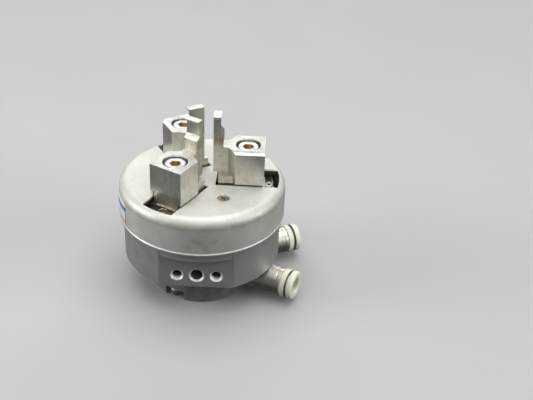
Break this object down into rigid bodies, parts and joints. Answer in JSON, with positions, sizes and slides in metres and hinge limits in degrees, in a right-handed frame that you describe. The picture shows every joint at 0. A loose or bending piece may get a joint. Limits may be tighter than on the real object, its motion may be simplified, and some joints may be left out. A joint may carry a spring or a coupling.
{
  "type": "pneumatic gripper",
  "caption": "Round air gripper with parallel fingers at 120 degrees, stepped clamping jaws, a side mounting flat and push-in tube fittings on the lower boss.",
  "frame": {"origin": "centre of the round boss's underside, on the bottom plug's face", "axes": "+Z along the gripper's axis towards the jaws, +X along finger a and between the two air fittings, -Y out of the side mounting flat"},
  "size_m": [0.0508, 0.045, 0.0508],
  "materials": {
    "cover_aluminium": "fine blasted, light grey anodised",
    "body_aluminium": "turned, grey anodised",
    "rubber": "matte black",
    "bronze": "plain bearing bronze",
    "slide_steel": "hardened and ground, oiled",
    "finger_steel": "ground steel",
    "jaw_steel": "milled, satin nickel plated",
    "screw_steel": "bright stainless",
    "nickel_brass": "bright nickel plated brass",
    "cream_plastic": "smooth moulded, slightly translucent",
    "label_film": "plain printed film without text"
  },
  "bodies": {
    "housing": {"boss": "body_aluminium", "boss_plug": "body_aluminium", "chamber_gasket": "rubber", "base_screw_a": "screw_steel", "base_screw_b": "screw_steel", "base_screw_c": "screw_steel", "stopper_a": "body_aluminium", "stopper_b": "body_aluminium", "lower_bush": "bronze", "lower_shaft_seal": "rubber", "upper_shaft_seal": "rubber", "upper_bush": "bronze", "body": "body_aluminium", "guide_plate": "slide_steel", "rail_a_left": "slide_steel", "rail_a_right": "slide_steel", "rail_b_left": "slide_steel", "rail_b_right": "slide_steel", "rail_c_left": "slide_steel", "rail_c_right": "slide_steel", "guide_screw_a": "screw_steel", "guide_screw_b": "screw_steel", "guide_screw_c": "screw_steel", "cover": "cover_aluminium", "cover_screw_a": "screw_steel", "cover_screw_b": "screw_steel", "cover_screw_c": "screw_steel", "label": "label_film", "fitting_body_front": "nickel_brass", "port_gasket_front": "rubber", "tube_seal_front": "rubber", "collet_front": "finger_steel", "fitting_collar_front": "cream_plastic", "fitting_body_back": "nickel_brass", "port_gasket_back": "rubber", "tube_seal_back": "rubber", "collet_back": "finger_steel", "fitting_collar_back": "cream_plastic"},
    "rotor": {"vane_rotor": "finger_steel", "vane_seal_a": "rubber", "vane_seal_b": "rubber", "cam_disc": "slide_steel", "cam_screw": "screw_steel"},
    "slider_a": {"finger_a": "finger_steel", "drive_pin_a": "slide_steel", "jaw_a": "jaw_steel", "jaw_screw_a": "screw_steel"},
    "slider_b": {"finger_b": "finger_steel", "drive_pin_b": "slide_steel", "jaw_b": "jaw_steel", "jaw_screw_b": "screw_steel"},
    "slider_c": {"finger_c": "finger_steel", "drive_pin_c": "slide_steel", "jaw_c": "jaw_steel", "jaw_screw_c": "screw_steel"},
    "button_front": {"release_button_front": "cream_plastic"},
    "button_back": {"release_button_back": "cream_plastic"}
  },
  "joints": [
    {"name": "rotor_turn", "type": "hinge", "parent": "housing", "child": "rotor", "pos_m": [0, 0, 0.022], "axis": [0, 0, 1], "range_deg": [0, 90]},
    {"name": "finger_a_slide", "type": "slide", "parent": "housing", "child": "slider_a", "axis": [1, 0, 0], "range_m": [0, 0.003]},
    {"name": "finger_b_slide", "type": "slide", "parent": "housing", "child": "slider_b", "axis": [-0.5, 0.866, 0], "range_m": [0, 0.003]},
    {"name": "finger_c_slide", "type": "slide", "parent": "housing", "child": "slider_c", "axis": [-0.5, -0.866, 0], "range_m": [0, 0.003]},
    {"name": "button_front_press", "type": "slide", "parent": "housing", "child": "button_front", "axis": [-0.9135, 0.4068, 0], "range_m": [0, 0.0005]},
    {"name": "button_back_press", "type": "slide", "parent": "housing", "child": "button_back", "axis": [-0.9135, -0.4068, 0], "range_m": [0, 0.0005]}
  ],
  "couplings": [
    {"joint": "finger_a_slide", "follows": "rotor_turn", "m_per_rad": 0.0019},
    {"joint": "finger_b_slide", "follows": "rotor_turn", "m_per_rad": 0.0019},
    {"joint": "finger_c_slide", "follows": "rotor_turn", "m_per_rad": 0.0019}
  ]
}
